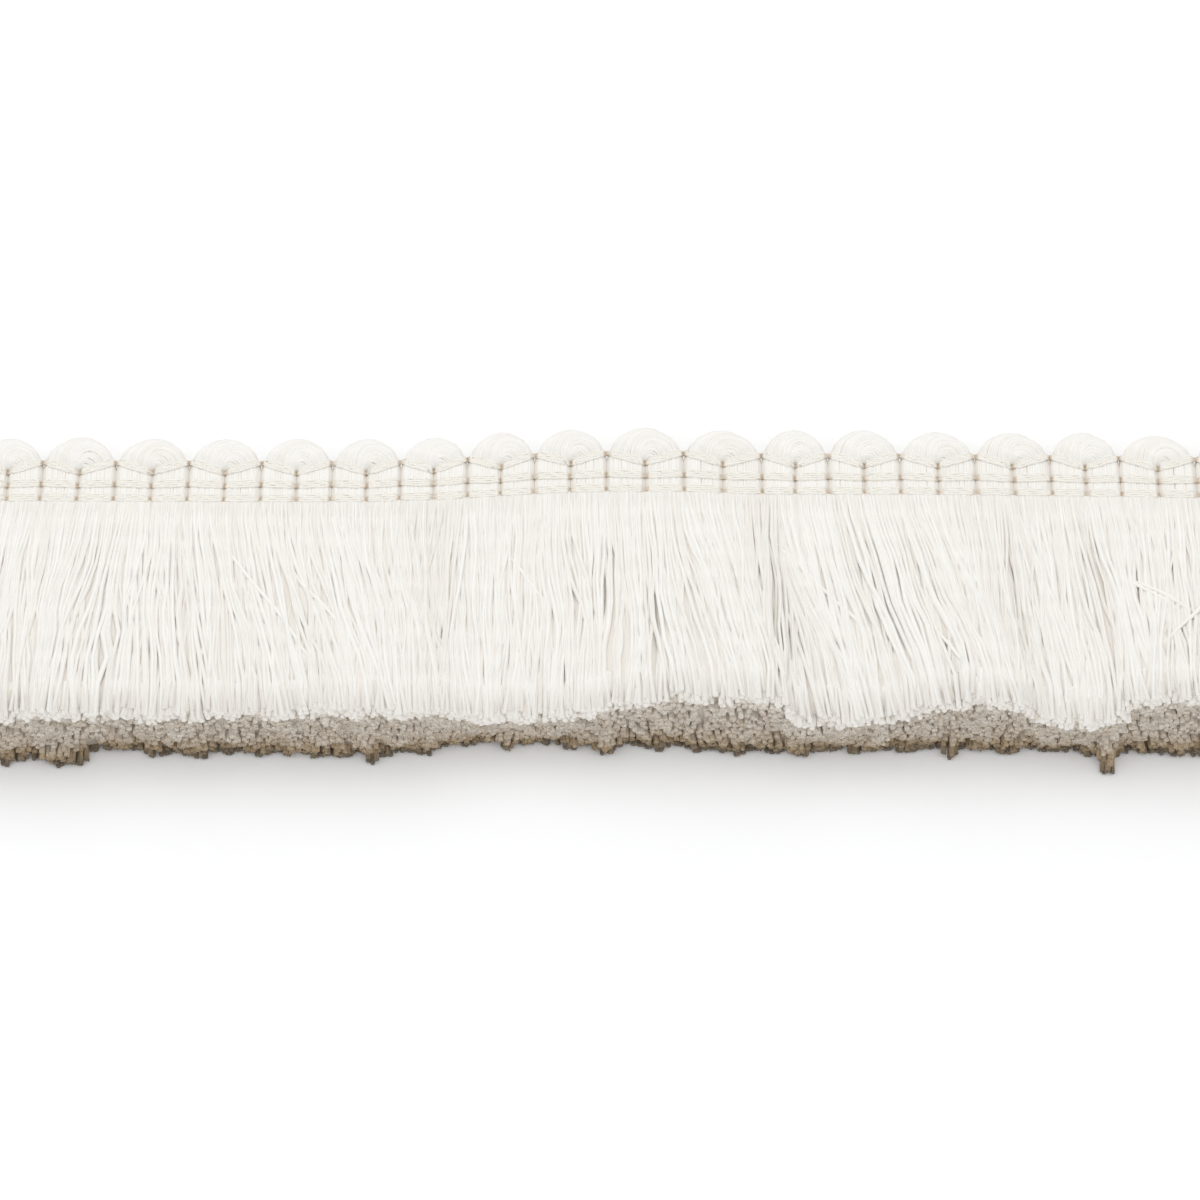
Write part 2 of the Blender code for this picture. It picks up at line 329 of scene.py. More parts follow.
def loop_route(tree, middle, stretch, crown, twist, turn, deep, core, passed, wander):
    """A yarn's place in a loop and its legs, by its turn round the bundle and how far along it is."""
    through = passed * 2 - 1
    turning = LOOP_STEPS / (LOOP_STEPS + 2 * LEG_STEPS)
    swing = (through / turning).math("MINIMUM", 1.0).math("MAXIMUM", -1.0)
    angle = math.pi / 2 - swing * (math.pi / 2)
    bent = angle.math("SINE")
    down = (through.math("ABSOLUTE") - turning).math("MAXIMUM", 0.0) / (1 - turning)

    roll = turn - twist * (2 * math.pi) * (tree.ease((swing + 1) / 2) - 0.5) + wander * 0.03 * bent
    outer = roll.math("COSINE").math("GREATER_THAN", 0.0)
    rounded = tree.ease((bent - 0.2) / 0.7) * outer
    roll = roll + (roll * 4).math("SINE") * 0.085 * (1 - rounded)
    cosine = roll.math("COSINE")
    sine = roll.math("SINE")
    squareness = LEG_SQUARENESS + core * 7
    squareness = squareness - (squareness - LOOP_ROUNDNESS) * rounded
    spread = cosine.math("ABSOLUTE") ** squareness + sine.math("ABSOLUTE") ** squareness
    shape = deep * spread ** (-1.0 / squareness)

    across = cosine * shape * (LEG_WIDTH / 2 - LOOP_YARN_RADIUS)
    swung = (angle.math("COSINE") / LOOP_SHOULDER).math("MINIMUM", 1.0).math("MAXIMUM", -1.0)
    from_end = TRIM_LENGTH / 2 - (middle + (LEG_SPACING / 2 + across) * swung * stretch).math("ABSOLUTE")
    over = core * (1 - bent) * tree.ease((from_end - 0.0004) / 0.0003) * LOOP_CORE_OVER
    across = across + cosine * shape * over
    x_in_loop = (LEG_SPACING / 2 + across) * swung
    y = LOOP_CENTRE_Y - down * (LOOP_CENTRE_Y - BOTTOM_BINDING.y_mid_loop + 0.00010)
    y = y + (LEG_SPACING / 2 + across) * bent * (crown / LOOP_REACH)
    pinch = 0.0
    for row in BINDINGS:
        gap = (y - thread_line(x_in_loop, row)) / PINCH_WIDTH
        pinch = pinch + (gap * gap * -1.0).math("EXPONENT")
    x_in_loop = (LEG_SPACING / 2 + across * (1 - pinch * 0.03)) * swung
    half_height = HEADING_THICKNESS / 2 - LOOP_YARN_RADIUS
    height = sine * shape * (1 - pinch * PINCH) * half_height + HEADING_THICKNESS / 2
    over_binding = y - thread_line(x_in_loop, BINDINGS[0]) - 0.00010
    puff = 1 + tree.ease(over_binding / 0.0009) * LOOP_PUFF
    x = middle + x_in_loop * (1 - tree.ease(over_binding / 0.0005) * NECK) * stretch
    y = y + tree.along_trim(x, BOWS, "shift")
    # Beside is how far a point lies on the side of a leg that faces a slit; it sets the painted shade there.
    beside = (cosine * shape / deep).math("ABSOLUTE") ** 12 * (1 - bent)
    return x, y, height * puff + wander * 0.00002 * bent, beside


LOOP_GIVEN = "middle stretch crown twist turn deep core passed wander"
LOOP_ROUTE = group_of("loop route", LOOP_GIVEN, "x y z beside", loop_route)


def loop_yarns(tree, bundle):
    """The yarns that show in one loop and in its two legs."""
    steps = LOOP_STEPS + 2 * LEG_STEPS
    seed = bundle.seed

    def draws(number):
        turn = (number + tree.dice(seed + 1, number) * 0.15) * (2 * math.pi / LOOP_YARNS)
        deep = 1.0 + tree.dice(seed + 2, number) * 0.012
        return turn, deep, tree.dice(seed + 3, number), number * 1.0

    lines, (passed, _, _), (turn, deep, tone, number) = copies_of(
        tree, line_of(tree, steps), LOOP_YARNS, draws
    )
    wander = tree.noise(number * 3.7, passed * 4.4, seed * 1.0)
    x, y, z, beside = tree.using(LOOP_ROUTE, *bundle[:4], turn, deep, 0.0, passed, wander)
    radius = LOOP_YARN_RADIUS * (1 + tone * 0.08)
    # Painted shade: the yarns on the sides of the legs, in the slits, are darkened.
    return spun(tree, lines, tree.xyz(x, y, z), radius, tone, beside * 0.23, 5)


def loop_core(tree, bundle):
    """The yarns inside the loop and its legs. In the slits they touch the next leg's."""
    steps = LOOP_STEPS + 2 * LEG_STEPS
    inputs = {"Vertices": 28, "Side Segments": steps, "Radius": 1.0, "Depth": 1.0}
    tube = tree.node("GeometryNodeMeshCylinder", {"fill_type": "NGON"}, inputs)
    core, (a, b, c), _ = copies_of(tree, tube, 1, lambda number: [number * 1.0])
    turn = b.math("ARCTAN2", a)
    x, y, z, beside = tree.using(LOOP_ROUTE, *bundle[:4], turn, LOOP_CORE, 1.0, c + 0.5, 0.0)
    # Painted shade: the core is a little darker all over, and much darker on the sides of the legs, in the
    # slits.
    tint = 0.08 + beside * 0.38
    return moved(tree, core, tree.xyz(x, y, z), 0.0, tint, c * 0.02, tree.xyz(a * 5, b * 5, 0.0))


# The brush.
# Below the heading each leg opens into a hundred or so soft yarns, combed straight, that lean and
# cross a little, bunch together in wisps, and are cut off square, so the cut end is a soft pile.

BRUSH_DEPTH = 0.0320

# How the brush leans and fans out from root to tip, and how far its yarns sway: whole locks of them,
# their middles, single ones that stray, and each one's own waver sideways and upwards.
LEAN_OF_BACK = 0.25
LEAN_CURVE = 1.2
LEAN_SETTLES = 0.6
LEAN_LOST_BELOW = 3000.0
FAN_CURVE = 1.6
LOCK_SWAY = 0.0013
FLOW_SWAY = 0.00042
SINGLE_SWAY = 0.0030
WAVER_ASIDE = 0.00040
WAVER_UP = 0.00011

# How unevenly the yarns are cut, in patches and one by one, and how the lip's yarns droop.
PATCH_RAGGED = 0.00032
PATCH_RAGGED_LIP = 0.00035
PATCH_RAGGED_FOOT = 0.00050
END_RAGGED = 0.00005
END_RAGGED_LIP = 0.00012
LIP_DROOP = 0.00055
LIP_DROOP_EACH = 0.00040
LIP_DROOP_BACK = 0.00025

# How far the face of the brush leans sideways from root to tip.
Lean = namedtuple("Lean", "x sideways")
LEANS = [
    Lean(-0.066, -0.0004),
    Lean(-0.056, -0.0010),
    Lean(-0.050, 0.0004),
    Lean(-0.044, 0.0034),
    Lean(-0.036, 0.0062),
    Lean(-0.028, 0.0050),
    Lean(-0.020, 0.0030),
    Lean(-0.012, 0.0006),
    Lean(-0.004, 0.0),
    Lean(0.002, 0.0018),
    Lean(0.008, 0.0050),
    Lean(0.016, 0.0058),
    Lean(0.024, 0.0048),
    Lean(0.032, 0.0046),
    Lean(0.040, 0.0034),
    Lean(0.048, 0.0018),
    Lean(0.056, 0.0002),
    Lean(0.066, 0.0),
]

# How far the cut end's face and back reach from the middle of the heading, and how high it stands.
Cut = namedtuple("Cut", "x face_reach back_reach height")
CUTS = [
    Cut(-0.066, 0.0319, 0.0325, 0.0083),
    Cut(-0.056, 0.0323, 0.0329, 0.0084),
    Cut(-0.050, 0.0318, 0.0319, 0.0077),
    Cut(-0.044, 0.0321, 0.0325, 0.0080),
    Cut(-0.036, 0.0318, 0.0322, 0.0079),
    Cut(-0.028, 0.0319, 0.0325, 0.0084),
    Cut(-0.020, 0.0317, 0.0321, 0.0081),
    Cut(-0.012, 0.0316, 0.0309, 0.0066),
    Cut(-0.004, 0.0315, 0.0314, 0.0074),
    Cut(0.002, 0.0309, 0.0315, 0.0084),
    Cut(0.008, 0.0309, 0.0319, 0.0090),
    Cut(0.015, 0.0314, 0.0322, 0.0087),
    Cut(0.020, 0.0324, 0.0320, 0.0070),
    Cut(0.028, 0.0317, 0.0319, 0.0076),
    Cut(0.037, 0.0311, 0.0319, 0.0087),
    Cut(0.044, 0.0325, 0.0321, 0.0069),
    Cut(0.049, 0.0321, 0.0322, 0.0077),
    Cut(0.056, 0.0309, 0.0323, 0.0092),
    Cut(0.066, 0.0318, 0.0323, 0.0082),
]

# Wisps at the foot of the cut end that are longer or shorter than the rest.
Wisp = namedtuple("Wisp", "x half_width longer")
WISPS = [
    Wisp(-0.0611, 0.0010, 0.0008),
    Wisp(-0.0590, 0.0004, -0.0013),
    Wisp(-0.0562, 0.0018, 0.0011),
    Wisp(-0.0530, 0.0009, -0.0014),
    Wisp(-0.0252, 0.0005, 0.0014),
    Wisp(-0.0115, 0.0005, 0.0017),
    Wisp(-0.0019, 0.0006, 0.0014),
    Wisp(0.0331, 0.0005, 0.0010),
    Wisp(0.0485, 0.0004, 0.0032),
]

# Where the yarns of the face part and show those below, by how far along from the root each gap is.
Parting = namedtuple("Parting", "x along half_width length slope")
PARTINGS = [
    Parting(-0.0592, 0.70, 0.00036, 0.10, -0.004),
    Parting(-0.0514, 0.70, 0.00066, 0.11, -0.007),
    Parting(-0.0444, 0.52, 0.00032, 0.10, 0.006),
    Parting(-0.0270, 0.62, 0.00028, 0.08, 0.006),
    Parting(0.0420, 0.90, 0.00035, 0.05, 0.0),
    Parting(0.0490, 0.66, 0.00030, 0.08, -0.004),
    Parting(0.0546, 0.82, 0.00040, 0.06, 0.008),
    Parting(0.0574, 0.36, 0.00042, 0.08, -0.002),
]

END_RADIUS = 0.00024
LAYER_DEPTH = 0.00010
OUTER_DEPTH = 0.00013
CORE_DEPTH = 0.00034
BRUSH_STEPS = 11
ROOT_INSIDE = 0.0005
CLUMP_SIZE = 0.0014
CLUMP_PULL = 0.25
LOCK_SIZE = 0.0040
LOCK_PULL = 0.10
FACE_TUFTS = 4
PILE_TUFTS = 7
TUFT_WIDTH = 0.00013

# How the yarns of a leg lie: in layers close under the face or over the back, in rows down both sides,
# or in rows right through. Face is 1 for the face, 0 for the back and nothing for rows right through.
# Set back is how much further in the rows under the face are cut.
Lay = namedtuple("Lay", "columns rows face spread loose set_back")
FACE_LAY = Lay(10, 4, 1.0, 1.0, 1.0, 0.0)
BACK_LAY = Lay(8, 2, 0.0, 1.0, 1.0, 0.0)
SIDE_LAY = Lay(2, 7, None, 1.86, 0.2, 0.0)
END_SIDE_ROWS = 17
END_SIDE_SPREAD = 2.04
PILE_LAY = Lay(9, 16, None, 1.0, 1.0, 0.0005)

# What is drawn for each yarn: its place in the section of its leg, and how it differs from the rest.
End = namedtuple("End", "across front below side tone stray uneven number")


def end_draws(tree, bundle, lay, number):
    """The draws for the yarn of that number."""
    seed = bundle.seed + lay.columns * 3 + lay.rows
    column = number.math("MODULO", lay.columns)
    row = (number / lay.columns).math("FLOOR").math("MODULO", lay.rows)
    side = (number / (lay.columns * lay.rows)).math("FLOOR") * 2 - 1
    shifted = (row + 0.5) / lay.rows + tree.dice(seed + 1, number) * 0.12
    if lay.face is None:
        shifted = 0.5 + (row.math("MODULO", 2) * 0.5 - 0.25 + tree.dice(seed + 1, number) * 0.3) * lay.loose
    across = ((column + shifted) * (2 / lay.columns) - 1) * lay.spread
    unsteady = tree.dice(seed + 2, number)
    if lay.face is None:
        front = (row + 0.5 + unsteady * 0.22) / lay.rows
        below = number * 0.0
    else:
        front = number * 0.0 + lay.face
        below = (row + 0.2 + unsteady * 0.2) * LAYER_DEPTH
    return End(
        across,
        front,
        below,
        side,
        tree.dice(seed + 3, number),
        tree.dice(seed + 4, number),
        tree.dice(seed + 5, number),
        number * 1.0,
    )


def end_route(
    tree, middle, stretch, seed, across, front, below, side, stray, uneven, number, along, inside
):
    """Where a yarn passes, from its root at 0 along to its cut end at 1."""
    root_x = middle + (side + across * 1.02) * (LEG_SPACING / 2) * stretch
    bow = tree.along_trim(root_x, BOWS, "shift")
    layer = tree.noise(root_x * 210, front * 2.4 + below * 9000, 0.0) * LOCK_SWAY
    single = stray * stray.math("ABSOLUTE") ** 3 * SINGLE_SWAY
    lean = tree.along_trim(root_x, LEANS, "sideways") * (LEAN_OF_BACK + (1 - LEAN_OF_BACK) * front)
    lean = lean * (1 - below * LEAN_LOST_BELOW)
    sideways = lean + layer + single
    tip_x = root_x + sideways
    height = tree.along_trim(tip_x, CUTS, "height")
    back_reach = tree.along_trim(tip_x, CUTS, "back_reach")
    reach = back_reach + (tree.along_trim(tip_x, CUTS, "face_reach") - back_reach) * front
    low = (1 - front) ** 3
    outside = 1 - tree.ease(below / OUTER_DEPTH)
    for wisp in WISPS:
        gap = (tip_x - wisp.x) / wisp.half_width
        reach = reach + (gap * gap * -1.0).math("EXPONENT") * outside * low * wisp.longer
    tip_z = front * height

    drawn = 0.25 + 0.75 * front ** 8
    pulled_x, pulled_z = 0.0, 0.0
    for size, pull in ((CLUMP_SIZE, CLUMP_PULL), (LOCK_SIZE, LOCK_PULL)):
        settings = {"voronoi_dimensions": "2D"}
        inputs = {"Vector": tree.xyz(tip_x / size, tip_z / size, 0.0), "Scale": 1.0}
        cell = tree.node("ShaderNodeTexVoronoi", settings, inputs, "Position")
        cell_x, cell_z, _ = tree.parts(cell)
        pulled_x = pulled_x + (cell_x * size - tip_x) * drawn * pull
        pulled_z = pulled_z + (cell_z * size - tip_z) * drawn * pull

    late = along * along
    waver = tree.noise(number * 5.3, along * 3.6, seed)
    waver_up = tree.noise(along * 3.2, number * 4.1, seed)
    flow = tree.noise(root_x * 330, along * 2.6, front * 3.0 + below * 5000)
    flow = flow * tree.ease(along / 0.4) * FLOW_SWAY
    free = late * (1 - tree.ease((along - 0.88) / 0.14) * 0.5)
    led = along ** LEAN_CURVE
    led = led + (tree.ease(along) - led) * LEAN_SETTLES
    x = root_x + sideways * led + flow + pulled_x * free + waver * along ** 0.8 * WAVER_ASIDE
    for parting in PARTINGS:
        gap = (along - parting.along) / parting.length
        aside = x - parting.x - (along - parting.along) * parting.slope
        near = (aside / (parting.half_width * 2)) ** 2 + gap ** 2
        pushed = (near * -1.0).math("EXPONENT") * parting.half_width
        x = x + aside / (aside.math("ABSOLUTE") + 0.00005) * pushed
    fanned = 1 - (1 - along) ** FAN_CURVE
    thickness = HEADING_THICKNESS + (height - HEADING_THICKNESS) * fanned
    under = END_RADIUS + below * tree.ease(along / 0.35) + inside * (HEADING_THICKNESS / 2 * PINCH)
    from_middle = under + front * (thickness - 2 * under) - thickness / 2
    edge = across.math("ABSOLUTE") ** 3
    squashed = 1 - edge * (1 - tree.ease(along / 0.08)) * 0.22
    z = thickness / 2 + from_middle * squashed + pulled_z * late * 0.25 + waver_up * along * WAVER_UP
    patchy = tree.noise(tip_x * 480, tip_z * 400, 0.0, 1.0)
    lip = front ** 8
    in_patches = patchy * (PATCH_RAGGED + PATCH_RAGGED_LIP * lip + PATCH_RAGGED_FOOT * low)
    ragged = in_patches + uneven * (END_RAGGED + END_RAGGED_LIP * lip)
    y = HEADING_FOOT + inside * ROOT_INSIDE - along * (reach + HEADING_FOOT + ragged) + bow * (1 - along)
    droop = tree.ease((along - 0.90) / 0.12) * front ** 6
    z = z - droop * (LIP_DROOP + LIP_DROOP_EACH * uneven + LIP_DROOP_EACH * stray.math("ABSOLUTE"))
    y = y - droop * LIP_DROOP_BACK
    return x, y, z


END_GIVEN = "middle stretch seed across front below side stray uneven number along inside"
END_ROUTE = group_of("end route", END_GIVEN, "x y z", end_route)


def route_of(tree, bundle, end, along, inside):
    """The place of a yarn of the brush, so far along."""
    own = (end.across, end.front, end.below, end.side, end.stray, end.uneven, end.number)
    return tree.using(END_ROUTE, bundle.middle, bundle.stretch, bundle.seed, *own, along, inside)


def cut_painted_shade(tree, x, z, front):
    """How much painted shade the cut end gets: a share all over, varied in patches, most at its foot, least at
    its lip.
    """
    patch = tree.noise(x * 600, z * 600, 0.0, 1.0) * 0.14
    return (0.46 + patch + (1 - front) * 0.14) * (1 - front ** 8 * 0.88) + (1 - front) ** 8 * 1.4


def brush_yarns(tree, bundle, lay, begin, steps, radius, sides):
    """The brush's yarns of one lay, from where they begin to show to their cut ends."""
    count = 2 * lay.columns * lay.rows
    lines, (passed, _, _), drawn = copies_of(
        tree, line_of(tree, steps), count, lambda number: end_draws(tree, bundle, lay, number)
    )
    end = End(*drawn)
    station = passed * steps
    last = (station - (steps - 1)).math("MAXIMUM", 0.0)
    if begin:
        inside = 0.0
        along = begin + (station / (steps - 1)).math("MINIMUM", 1.0) * (1 - begin)
    else:
        inside = (1 - station).math("MAXIMUM", 0.0)
        along = ((station - 1) / (steps - 2)).math("MAXIMUM", 0.0).math("MINIMUM", 1.0)
    x, y, z = route_of(tree, bundle, end, along, inside)
    y = y - last * 0.00006 + end.front ** 8 * lay.set_back
    places = tree.xyz(x, y, z.math("MAXIMUM", radius))
    lumps = tree.noise(end.number * 3.1, along * 5.0, bundle.seed * 1.0) * 0.12
    flare = 0.98 + 0.08 * along + 0.14 * end.front * along ** 8
    radius = radius * flare * (1 + end.tone * 0.08 + lumps) * (1 - last * 0.15)
    # Painted shade on the last few hundredths of each yarn, where it shows on the cut end.
    cut = tree.ease((along - 0.965) / 0.03) * cut_painted_shade(tree, x, z, end.front)
    # Painted shade on the rows that lie deeper under the face.
    buried_painted_shade = end.below * (0.032 / LAYER_DEPTH)
    return spun(
        tree, lines, places, radius, end.tone, buried_painted_shade + cut, sides, end.stray * math.pi + along * 2
    )


def tufts(tree, bundle, lay):
    """The tufts of fibre that each cut end opens into, which make the cut end a soft pile."""
    each = FACE_TUFTS if lay is FACE_LAY else PILE_TUFTS

    def draws(number):
        own = (number / each).math("FLOOR")
        apart = [tree.dice(bundle.seed + n, number) for n in range(40, 44)]
        return *end_draws(tree, bundle, lay, own), *apart

    count = 2 * lay.columns * lay.rows * each
    inputs = {"Vertices": 3, "Radius Top": 0.0, "Radius Bottom": 1.0, "Depth": 1.0}
    cone = tree.node("GeometryNodeMeshCone", {"fill_type": "NGON"}, inputs)
    made, (a, b, c), (*drawn, out_x, out_z, far, turned) = copies_of(tree, cone, count, draws)
    end = End(*drawn)
    x, y, z = route_of(tree, bundle, end, c * 0.0 + 1.0, 0.0)
    top = end.front ** 8
    cosine = (turned * math.pi).math("COSINE")
    sine = (turned * math.pi).math("SINE")
    wide = TUFT_WIDTH * (1 + far * 0.25)
    x = x + out_x * 0.00024 + (a * cosine - b * sine) * wide
    z = z + out_z * 0.00022 + (a * sine + b * cosine) * wide - c * top * 0.00020
    y = y + 0.00001 + top * (0.0004 + lay.set_back) - c * (0.00020 + far * 0.00007 + top * 0.00030)
    places = tree.xyz(x, y, z.math("MAXIMUM", 0.00004))
    # Painted shade on the tufts, as on the cut end.
    tint = cut_painted_shade(tree, x, z, end.front)
    return moved(tree, made, places, turned * 0.6, tint, c * 0.0003, tree.xyz(a, b, 0.0))


def leg_cores(tree, bundle):
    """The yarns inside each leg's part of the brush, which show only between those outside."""
    inputs = {"Vertices": 24, "Side Segments": 14, "Radius": 1.0, "Depth": 1.0}
    tube = tree.node("GeometryNodeMeshCylinder", {"fill_type": "NGON"}, inputs)
    cores, (a, b, c), (side,) = copies_of(tree, tube, 2, lambda number: [number * 2.0 - 1])
    spread = a.math("ABSOLUTE") ** 12 + b.math("ABSOLUTE") ** 12
    shape = spread ** (-1 / 12)
    across = a * shape * 1.02
    front = (b * shape + 1) / 2
    along = (c + 0.5) * 0.977
    none = c * 0.0
    end = End(across, front, none + (CORE_DEPTH - END_RADIUS), side, none, none, none, none)
    places = tree.xyz(*route_of(tree, bundle, end, along, 0.0))
    # Painted shade: the core is darker than the yarns over it, and more so near its cut end, except on the
    # face.
    tint = 0.22 + tree.ease((along - 0.95) / 0.03) * (1 - front ** 6) * 0.35
    around = tree.xyz(across * 5, front * 8, 0.0)
    return moved(tree, cores, places, none, tint, along * BRUSH_DEPTH, around)


# The weft bundles.
# Loop, legs and brush are the same yarns, so each bundle is one piece from loop to cut end. The yarn is
# soft and a little lustrous, with fine fibres along it, and painted shade darkens it where it is packed: in the
# slits, in the gaps between yarns and on the cut end.


def yarn_finish(name, dark, light, painted_shade_colour, deepest_painted_shade_colour, roughness):
    """Soft yarn: fine fibres along it, a tone of its own for each end, and painted shade where it is packed."""
    material = bpy.data.materials.new(name)
    material.use_nodes = True
    tree = Tree(material.node_tree)
    shader = material.node_tree.nodes["Principled BSDF"]
    for socket, value in (
        ("Specular IOR Level", 0.3),
        ("Sheen Weight", 0.2),
        ("Sheen Roughness", 0.4),
    ):
        shader.inputs[socket].default_value = value
    tone = tree.node("ShaderNodeAttribute", {"attribute_name": "tone"}, output="Fac")
    tint = tree.node("ShaderNodeAttribute", {"attribute_name": "tint"}, output="Fac")
    length = tree.node("ShaderNodeAttribute", {"attribute_name": "length"}, output="Fac")
    around = tree.node("ShaderNodeAttribute", {"attribute_name": "around"}, output="Vector")
    a, b, _ = tree.parts(around)
    spot = tree.xyz(a * 1.6, b * 1.6 + tone * 9, length * 260)
    fibres = tree.node("ShaderNodeTexNoise", inputs={"Vector": spot, "Scale": 1.6, "Detail": 2.0})
    shade = 0.6 + tone * 0.25 + (fibres - 0.5) * 0.5

    def blend(share, first, second):
        return tree.node("ShaderNodeMix", {"data_type": "RGBA"}, {"Factor": share, 6: first, 7: second}, 2)

    # Painted shade: up to 1, the painted shade value blends the yarn towards the shade colour; past 1, on
    # towards the deepest shade colour.
    colour = blend(tint, blend(shade, (*dark, 1.0), (*light, 1.0)), (*painted_shade_colour, 1.0))
    colour = blend(tint - 1, colour, (*deepest_painted_shade_colour, 1.0))
    bump = tree.node("ShaderNodeBump", inputs={"Strength": 0.3, "Distance": 0.00005, "Height": fibres})
    for socket, value in (
        ("Base Color", colour),
        ("Roughness", roughness + (fibres - 0.5) * 0.2),
        ("Normal", bump),
    ):
        material.node_tree.links.new(value.socket, shader.inputs[socket])
    return material


def bundle_tree(material):
    """The geometry tree of one bundle."""
    tree = Tree(bpy.data.node_groups.new("weft bundle", "GeometryNodeTree"))
    kinds = dict.fromkeys(("Middle", "Stretch", "Crown", "Twist", "Side Rows", "Side Spread"), "Float")
    kinds["Seed"] = "Int"
    inputs = {}
    for name, kind in kinds.items():
        socket = tree.nodes.interface.new_socket(name, in_out="INPUT", socket_type="NodeSocket" + kind)
        inputs[name] = socket.identifier
    given = tree.nodes.nodes.new("NodeGroupInput")
    bundle = Bundle(*[Wire(tree, given.outputs[name]) for name in kinds])
    side_lay = SIDE_LAY._replace(rows=bundle.side_rows, spread=bundle.side_spread)
    lays = (FACE_LAY, BACK_LAY, side_lay)
    whole = [brush_yarns(tree, bundle, lay, 0.0, BRUSH_STEPS, END_RADIUS, 5) for lay in lays]
    pile = brush_yarns(tree, bundle, PILE_LAY, 0.9, 2, END_RADIUS * 1.2, 5)
    opened = [tufts(tree, bundle, lay) for lay in (FACE_LAY, PILE_LAY)]
    held = [loop_yarns(tree, bundle), loop_core(tree, bundle), leg_cores(tree, bundle)]
    tree.finished(tree.joined(*held, *whole, pile, *opened), material)
    return tree.nodes, inputs


def made_real(host, name):
    """The shape that the host's geometry tree gives, as a plain mesh object in place of the host."""
    graph = bpy.context.evaluated_depsgraph_get()
    mesh = bpy.data.meshes.new_from_object(host.evaluated_get(graph))
    mesh.name = name
    bpy.data.objects.remove(host)
    piece = bpy.data.objects.new(name, mesh)
    bpy.context.scene.collection.objects.link(piece)
    return piece


# Ivory weft yarn: its own darker and lighter tones, and two colours of painted shade for slits, gaps and the
# cut end.
weft_yarn = yarn_finish(
    "weft_yarn",
    dark=(0.87, 0.83, 0.765),
    light=(0.93, 0.914, 0.88),
    painted_shade_colour=(0.45, 0.34, 0.215),
    deepest_painted_shade_colour=(0.14, 0.112, 0.08),
    roughness=0.6,
)
bundle_nodes, bundle_inputs = bundle_tree(weft_yarn)
left = -TRIM_LENGTH / 2
for number, loop in enumerate(LOOPS, start=1):
    host = bpy.data.objects.new("bundle_host", bpy.data.meshes.new("bundle_host"))
    bpy.context.scene.collection.objects.link(host)
    modifier = host.modifiers.new("weft bundle", "NODES")
    modifier.node_group = bundle_nodes
    modifier[bundle_inputs["Middle"]] = left + loop.pitch / 2
    modifier[bundle_inputs["Stretch"]] = loop.pitch / LOOP_PITCH
    modifier[bundle_inputs["Crown"]] = loop.crown
    modifier[bundle_inputs["Twist"]] = loop.twist
    at_end = number in (1, len(LOOPS))
    modifier[bundle_inputs["Side Rows"]] = float(END_SIDE_ROWS if at_end else SIDE_LAY.rows)
    modifier[bundle_inputs["Side Spread"]] = END_SIDE_SPREAD if at_end else SIDE_LAY.spread
    modifier[bundle_inputs["Seed"]] = 50 * number
    left += loop.pitch
    piece = made_real(host, f"weft_yarns_{number:02d}")
    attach(piece, "root")
    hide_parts(f"weft_bundle_{number:02d}")

# Binding threads.
# Each row is four fine ecru threads side by side, across the legs on the face and on the back of the
# heading, sunk into the soft yarn. In the slits between the legs, face and back threads lock together.

THREAD_RADIUS = 0.00015
THREAD_APART = 0.00026
THREAD_DIP = 0.0006
THREAD_SHOULDERS = (-0.00155, -0.0008, 0.0008, 0.00155)
THREAD_LAY = 0.0018
THREAD_STEP = 0.00045
THREAD_OVER = HEADING_THICKNESS - 0.00002
THREAD_BEHIND = 0.00018


def thread_route(row):
    """A thread's route: flat across each leg, and down into the slit on either side of it."""
    between, mid = row.y_between_loops, row.y_mid_loop
    points = []
    start = -TRIM_LENGTH / 2
    for loop in LOOPS:
        stretch = loop.pitch / LOOP_PITCH
        for slit_x, slit_y, next_y in ((0.0, between, mid), (LEG_SPACING, mid, between)):
            points.append((start + slit_x * stretch, slit_y, THREAD_DIP))
            for shoulder in THREAD_SHOULDERS:
                across = LEG_SPACING / 2 + shoulder
                y = slit_y + (next_y - slit_y) * across / LEG_SPACING
                points.append((start + (slit_x + across) * stretch, y, 0.0))
        start += loop.pitch
    points.append((TRIM_LENGTH / 2, between, THREAD_DIP))
    return points


def thread_tree(material):
    """The geometry tree of a row: threads side by side along its guide, drawn together in the slits."""
    tree = Tree(bpy.data.node_groups.new("binding thread", "GeometryNodeTree"))
    tree.nodes.interface.new_socket("Geometry", in_out="INPUT", socket_type="NodeSocketGeometry")
    given = tree.nodes.nodes.new("NodeGroupInput")
    inputs = {"Curve": Wire(tree, given.outputs[0]), "Length": THREAD_STEP}
    guide = tree.node("GeometryNodeResampleCurve", {"mode": "LENGTH"}, inputs)
    x, y, z = tree.parts(tree.node("GeometryNodeInputPosition"))
    bowed = tree.xyz(x, y + tree.along_trim(x, BOWS, "shift"), z)
    guide = tree.node("GeometryNodeSetPosition", inputs={"Geometry": guide, "Position": bowed})
    x, y, z = tree.parts(tree.node("GeometryNodeInputPosition"))
    length = tree.node("GeometryNodeSplineParameter", output="Length")
    face = z.math("GREATER_THAN", HEADING_THICKNESS / 2)
    sunk = face * (THREAD_OVER - z) + (1 - face) * (z - THREAD_BEHIND)
    plies = []
    for side in (-1.5, -0.5, 0.5, 1.5):
        turn = (length / THREAD_LAY + side * 0.3) * (2 * math.pi)
        spread = 1 - tree.ease(sunk / 0.00025) * 0.65
        shift = spread * (THREAD_APART * side) + turn.math("SINE") * 0.00002
        places = tree.xyz(x, y + shift, z + turn.math("COSINE") * 0.000015)
        # Painted shade where the threads sink into the slits and under the yarn.
        tint = tree.ease((sunk - 0.00010) / 0.00030)
        plies.append(spun(tree, guide, places, THREAD_RADIUS, turn.math("SINE") * 0.3, tint, 5, turn))
    tree.finished(tree.joined(*plies), material)
    return tree.nodes
